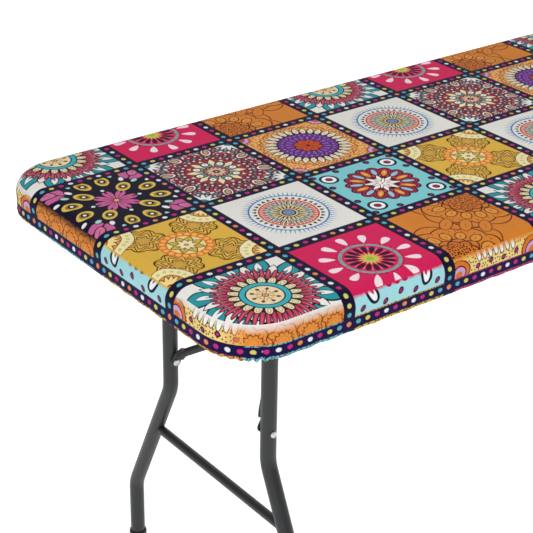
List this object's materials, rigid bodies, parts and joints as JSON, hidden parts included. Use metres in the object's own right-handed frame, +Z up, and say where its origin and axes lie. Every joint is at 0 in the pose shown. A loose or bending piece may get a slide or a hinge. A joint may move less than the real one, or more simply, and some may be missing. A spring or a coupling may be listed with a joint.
{
  "type": "tablecloth on a folding table",
  "caption": "Fitted elastic tablecloth with a patchwork mandala print, stretched over a folding table with wishbone legs and folding braces.",
  "frame": {"origin": "on the floor, below the middle of the table", "axes": "+X along the table, +Y across it, +Z up; the front leg set stands at -X"},
  "size_m": [1.8304, 0.6104, 0.74],
  "materials": {
    "printed_cloth": "printed knitted polyester, matt with a faint sheen",
    "hem_cloth": "matt, gathered and stitched",
    "elastic": "ribbed elastic tape",
    "moulded_plastic": "blow-moulded, fine pebble texture",
    "powder_coat": "charcoal powder coat, satin",
    "zinc": "bright zinc plating",
    "black_plastic": "moulded, satin"
  },
  "bodies": {
    "root": {"table_top": "moulded_plastic", "cover_sheet": "printed_cloth", "hem_casing": "hem_cloth", "elastic_band": "elastic", "side_rail_left": "powder_coat", "side_rail_right": "powder_coat", "rail_screw_1": "zinc", "rail_screw_2": "zinc", "rail_screw_3": "zinc", "rail_screw_4": "zinc", "rail_screw_5": "zinc", "rail_screw_6": "zinc", "rail_screw_7": "zinc", "rail_screw_8": "zinc", "rail_screw_9": "zinc", "rail_screw_10": "zinc", "bracket_screw_1": "zinc", "bracket_screw_2": "zinc", "bracket_screw_3": "zinc", "bracket_screw_4": "zinc", "front_link_bracket": "powder_coat", "front_bracket_pin": "zinc", "rear_link_bracket": "powder_coat", "rear_bracket_pin": "zinc"},
    "front_legs": {"front_pivot_bar": "powder_coat", "front_crossbar": "powder_coat", "front_leg_left": "powder_coat", "front_foot_cap_left": "black_plastic", "front_pivot_bush_left": "black_plastic", "front_brace_rivet_left": "zinc", "front_leg_right": "powder_coat", "front_foot_cap_right": "black_plastic", "front_pivot_bush_right": "black_plastic", "front_brace_rivet_right": "zinc"},
    "front_brace": {"front_brace_tie": "powder_coat", "front_brace_arm_left": "powder_coat", "front_knee_pin_left": "zinc", "front_brace_arm_right": "powder_coat", "front_knee_pin_right": "zinc"},
    "front_link": {"front_brace_link": "powder_coat"},
    "front_ring": {"front_lock_ring": "zinc"},
    "rear_legs": {"rear_pivot_bar": "powder_coat", "rear_crossbar": "powder_coat", "rear_leg_left": "powder_coat", "rear_foot_cap_left": "black_plastic", "rear_pivot_bush_left": "black_plastic", "rear_brace_rivet_left": "zinc", "rear_leg_right": "powder_coat", "rear_foot_cap_right": "black_plastic", "rear_pivot_bush_right": "black_plastic", "rear_brace_rivet_right": "zinc"},
    "rear_brace": {"rear_brace_tie": "powder_coat", "rear_brace_arm_left": "powder_coat", "rear_knee_pin_left": "zinc", "rear_brace_arm_right": "powder_coat", "rear_knee_pin_right": "zinc"},
    "rear_link": {"rear_brace_link": "powder_coat"},
    "rear_ring": {"rear_lock_ring": "zinc"}
  },
  "joints": [
    {"name": "front_leg_fold", "type": "hinge", "parent": "root", "child": "front_legs", "pos_m": [-0.728, 0, 0.696], "axis": [0, -1, 0], "range_deg": [0, 90]},
    {"name": "front_brace_turn", "type": "hinge", "parent": "front_legs", "child": "front_brace", "pos_m": [-0.728, 0, 0.435], "axis": [0, -1, 0], "range_deg": [0, 52.99]},
    {"name": "front_link_turn", "type": "hinge", "parent": "root", "child": "front_link", "pos_m": [-0.388, 0, 0.696], "axis": [0, 1, 0], "range_deg": [0, 38.01]},
    {"name": "front_ring_slide", "type": "slide", "parent": "front_link", "child": "front_ring", "axis": [-0.7932, 0, -0.6089], "range_m": [0, 0.105]},
    {"name": "rear_leg_fold", "type": "hinge", "parent": "root", "child": "rear_legs", "pos_m": [0.728, 0, 0.696], "axis": [0, 1, 0], "range_deg": [0, 90]},
    {"name": "rear_brace_turn", "type": "hinge", "parent": "rear_legs", "child": "rear_brace", "pos_m": [0.728, 0, 0.435], "axis": [0, 1, 0], "range_deg": [0, 52.99]},
    {"name": "rear_link_turn", "type": "hinge", "parent": "root", "child": "rear_link", "pos_m": [0.388, 0, 0.696], "axis": [0, -1, 0], "range_deg": [0, 38.01]},
    {"name": "rear_ring_slide", "type": "slide", "parent": "rear_link", "child": "rear_ring", "axis": [0.7932, 0, -0.6089], "range_m": [0, 0.105]}
  ],
  "couplings": [
    {"joint": "front_brace_turn", "follows": "front_leg_fold", "ratio": 0.58321},
    {"joint": "front_link_turn", "follows": "front_leg_fold", "ratio": 0.41679},
    {"joint": "rear_brace_turn", "follows": "rear_leg_fold", "ratio": 0.58321},
    {"joint": "rear_link_turn", "follows": "rear_leg_fold", "ratio": 0.41679}
  ]
}
